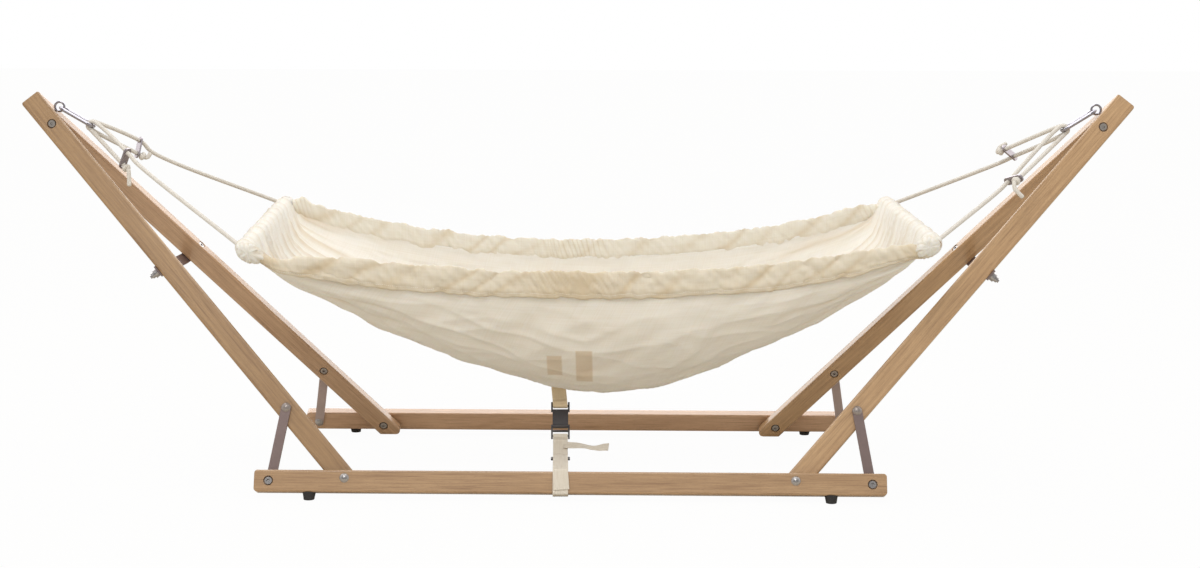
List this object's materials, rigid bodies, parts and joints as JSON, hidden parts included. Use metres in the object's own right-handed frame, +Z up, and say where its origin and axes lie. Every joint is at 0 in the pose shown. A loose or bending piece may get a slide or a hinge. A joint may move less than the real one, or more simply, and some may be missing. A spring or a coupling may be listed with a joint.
{
  "type": "baby hammock with stand",
  "caption": "Cloth baby hammock between two spreader bars, hung by ropes and snap hooks from a wooden A-shaped stand, with a safety strap to the front rail.",
  "frame": {"origin": "on the floor, midway between the four feet", "axes": "+X along the floor rails to the right, +Y to the back, away from the safety strap, +Z up"},
  "size_m": [1.8908, 0.5588, 0.6453],
  "materials": {
    "rail_wood": "clear oiled",
    "leg_wood": "clear oiled",
    "bar_wood": "sanded",
    "brace_steel": "zinc plated",
    "bolt_steel": "zinc plated",
    "hook_steel": "polished",
    "foot_rubber": "matte",
    "rope": "twisted cord",
    "cloth": "plain cotton weave",
    "webbing": "cotton webbing",
    "buckle_plastic": "moulded"
  },
  "bodies": {
    "stand": {"rail_front": "rail_wood", "rail_back": "rail_wood", "leg_front_left": "leg_wood", "leg_front_right": "leg_wood", "leg_back_left": "leg_wood", "leg_back_right": "leg_wood", "brace_front_left": "brace_steel", "brace_front_right": "brace_steel", "brace_back_left": "brace_steel", "brace_back_right": "brace_steel", "foot_front_left": "foot_rubber", "foot_front_right": "foot_rubber", "foot_back_left": "foot_rubber", "foot_back_right": "foot_rubber", "pivot_bolt_front_left": "bolt_steel", "pivot_bolt_front_right": "bolt_steel", "pivot_bolt_back_left": "bolt_steel", "pivot_bolt_back_right": "bolt_steel", "rail_bolt_front_left": "bolt_steel", "rail_bolt_front_right": "bolt_steel", "rail_bolt_back_left": "bolt_steel", "rail_bolt_back_right": "bolt_steel", "brace_bolt_front_left": "bolt_steel", "brace_bolt_front_right": "bolt_steel", "brace_bolt_back_left": "bolt_steel", "brace_bolt_back_right": "bolt_steel", "top_bolt_left": "bolt_steel", "top_bolt_right": "bolt_steel", "crossbar_left": "brace_steel", "crossbar_right": "brace_steel", "crossbar_screw_front_left": "bolt_steel", "crossbar_screw_front_right": "bolt_steel", "crossbar_screw_back_left": "bolt_steel", "crossbar_screw_back_right": "bolt_steel", "eye_bolt_left": "hook_steel", "eye_bolt_right": "hook_steel", "buckle_socket": "buckle_plastic", "buckle_plug": "buckle_plastic", "strap_lower": "webbing", "strap_slider": "buckle_plastic"},
    "hammock": {"hook_left": "hook_steel", "hook_right": "hook_steel", "rope_front_left": "rope", "rope_front_right": "rope", "rope_back_left": "rope", "rope_back_right": "rope", "bar_left": "bar_wood", "bar_right": "bar_wood", "casing_left": "cloth", "casing_right": "cloth", "bed": "cloth", "band_front": "cloth", "band_back": "cloth", "strap_upper": "webbing"},
    "gate_left": {"gate_left": "hook_steel"},
    "gate_right": {"gate_right": "hook_steel"},
    "runner_front_left": {"runner_front_left": "hook_steel"},
    "runner_front_right": {"runner_front_right": "hook_steel"},
    "runner_back_left": {"runner_back_left": "hook_steel"},
    "runner_back_right": {"runner_back_right": "hook_steel"}
  },
  "joints": [
    {"name": "hammock_swing", "type": "hinge", "parent": "stand", "child": "hammock", "pos_m": [0, 0, 0.62], "axis": [1, 0, 0], "range_deg": [-12, 6], "deforming": ["strap_upper"]},
    {"name": "gate_left_hinge", "type": "hinge", "parent": "hammock", "child": "gate_left", "pos_m": [-0.83932, 0.011, 0.59409], "axis": [0.5016, 0, 0.8651], "range_deg": [0, 20], "stiffness_Nm_per_rad": 0.3, "springref_deg": -17.19},
    {"name": "gate_right_hinge", "type": "hinge", "parent": "hammock", "child": "gate_right", "pos_m": [0.84021, 0.011, 0.59261], "axis": [0.5304, 0, -0.8478], "range_deg": [0, 20], "stiffness_Nm_per_rad": 0.3, "springref_deg": -17.19},
    {"name": "runner_front_left_slide", "type": "slide", "parent": "hammock", "child": "runner_front_left", "axis": [0.7042, -0.5471, -0.4525], "range_m": [-0.012, 0.012], "deforming": ["rope_front_left"]},
    {"name": "runner_front_right_slide", "type": "slide", "parent": "hammock", "child": "runner_front_right", "axis": [-0.6424, -0.6107, -0.463], "range_m": [-0.012, 0.012], "deforming": ["rope_front_right"]},
    {"name": "runner_back_left_slide", "type": "slide", "parent": "hammock", "child": "runner_back_left", "axis": [0.7055, 0.5812, -0.4055], "range_m": [-0.012, 0.012], "deforming": ["rope_back_left"]},
    {"name": "runner_back_right_slide", "type": "slide", "parent": "hammock", "child": "runner_back_right", "axis": [-0.701, 0.6044, -0.3786], "range_m": [-0.012, 0.012], "deforming": ["rope_back_right"]}
  ]
}
